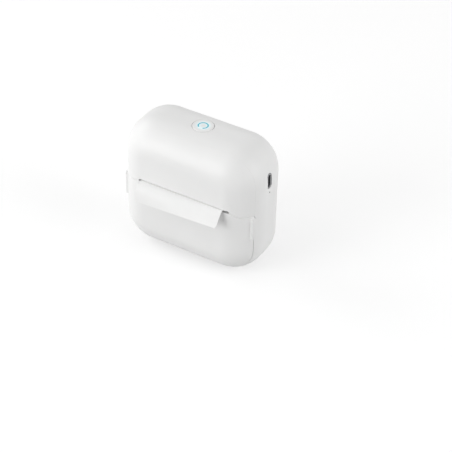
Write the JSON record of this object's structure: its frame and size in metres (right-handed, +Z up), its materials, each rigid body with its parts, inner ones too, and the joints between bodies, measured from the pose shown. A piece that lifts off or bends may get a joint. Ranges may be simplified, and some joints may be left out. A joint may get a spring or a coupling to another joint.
{
  "type": "portable thermal printer",
  "caption": "Palm-sized thermal printer in a soft-edged case, with a hinged front cover over its paper roll, a slot with a strip of paper hanging out, and a round lit button on top.",
  "frame": {"origin": "on the surface the printer stands on, under the middle of its case", "axes": "+X towards the side with the USB socket, -Y towards the front with the paper slot, +Z up"},
  "size_m": [0.088, 0.051, 0.0822],
  "materials": {
    "case_plastic": "fine satin, slightly warm white",
    "button_plastic": "satin white",
    "lit_ring": "light guide, lit cyan",
    "clear_plastic": "clear light guide, unlit",
    "paper": "smooth thermal paper",
    "card": "brown card",
    "steel": "zinc plated",
    "aluminium": "plain",
    "brass": "plain",
    "black_rubber": "ground",
    "foot_rubber": "matte grey",
    "dark_plastic": "satin black",
    "gear_plastic": "natural white",
    "ceramic": "glazed brown",
    "board": "green solder mask",
    "amber_film": "amber film",
    "foil": "dull foil",
    "lead": "red sleeve"
  },
  "bodies": {
    "housing": {"rear_shell": "case_plastic", "upper_front_shell": "case_plastic", "hinge_pin_left": "steel", "hinge_pin_right": "steel", "idler_stud": "steel", "stepper_motor": "steel", "mechanism_frame": "steel", "latch_spring_left": "steel", "latch_spring_right": "steel", "head_spring": "steel", "tear_bar": "steel", "roll_cradle": "dark_plastic", "button_board": "board", "tact_switch": "dark_plastic", "status_lens": "clear_plastic", "usb_socket": "steel", "usb_tongue": "dark_plastic", "main_board": "board", "board_chips": "dark_plastic", "flex_socket": "gear_plastic", "head_flex": "amber_film", "battery": "foil", "battery_plug": "gear_plastic", "battery_lead": "lead", "cover_switch": "dark_plastic", "foot_pad": "foot_rubber", "case_screws": "steel", "frame_screws": "steel", "board_screws": "steel", "button_board_screws": "steel", "motor_screws": "steel"},
    "cover": {"paper_cover": "case_plastic", "platen_bush_left": "dark_plastic", "platen_bush_right": "dark_plastic", "paper_strip": "paper"},
    "platen": {"platen_shaft": "steel", "platen_roller": "black_rubber", "platen_gear": "gear_plastic"},
    "idler": {"idler_gear": "gear_plastic"},
    "motor_rotor": {"motor_shaft": "steel", "motor_pinion": "brass"},
    "roll": {"paper_roll": "paper", "roll_core": "card"},
    "head": {"head_board": "ceramic", "heat_sink": "aluminium"},
    "button": {"power_button": "button_plastic", "light_ring": "lit_ring", "switch_plunger": "dark_plastic"}
  },
  "joints": [
    {"name": "cover_hinge", "type": "hinge", "parent": "housing", "child": "cover", "pos_m": [0, -0.014, 0.00557], "axis": [1, 0, 0], "range_deg": [0, 75]},
    {"name": "roll_spin", "type": "hinge", "parent": "housing", "child": "roll", "pos_m": [0, 0.002, 0.0197], "axis": [1, 0, 0], "continuous": true},
    {"name": "platen_spin", "type": "hinge", "parent": "cover", "child": "platen", "pos_m": [0, -0.0129, 0.04075], "axis": [1, 0, 0], "continuous": true},
    {"name": "idler_spin", "type": "hinge", "parent": "housing", "child": "idler", "pos_m": [-0.0324, -0.00285, 0.04075], "axis": [1, 0, 0], "continuous": true},
    {"name": "motor_spin", "type": "hinge", "parent": "housing", "child": "motor_rotor", "pos_m": [-0.0296, 0.00428, 0.04632], "axis": [1, 0, 0], "continuous": true},
    {"name": "head_rock", "type": "hinge", "parent": "housing", "child": "head", "pos_m": [0, -0.00578, 0.04843], "axis": [-1, 0, 0], "range_deg": [0, 2], "stiffness_Nm_per_rad": 0.3, "springref_deg": -8.59, "deforming": ["head_spring"]},
    {"name": "button_press", "type": "slide", "parent": "housing", "child": "button", "axis": [0, 0, -1], "range_m": [0, 0.0004], "stiffness_N_per_m": 2500, "springref_m": -0.0002}
  ],
  "couplings": [
    {"joint": "platen_spin", "follows": "roll_spin", "ratio": 3.125},
    {"joint": "idler_spin", "follows": "roll_spin", "ratio": -2.0833},
    {"joint": "motor_spin", "follows": "roll_spin", "ratio": 4.1667}
  ]
}
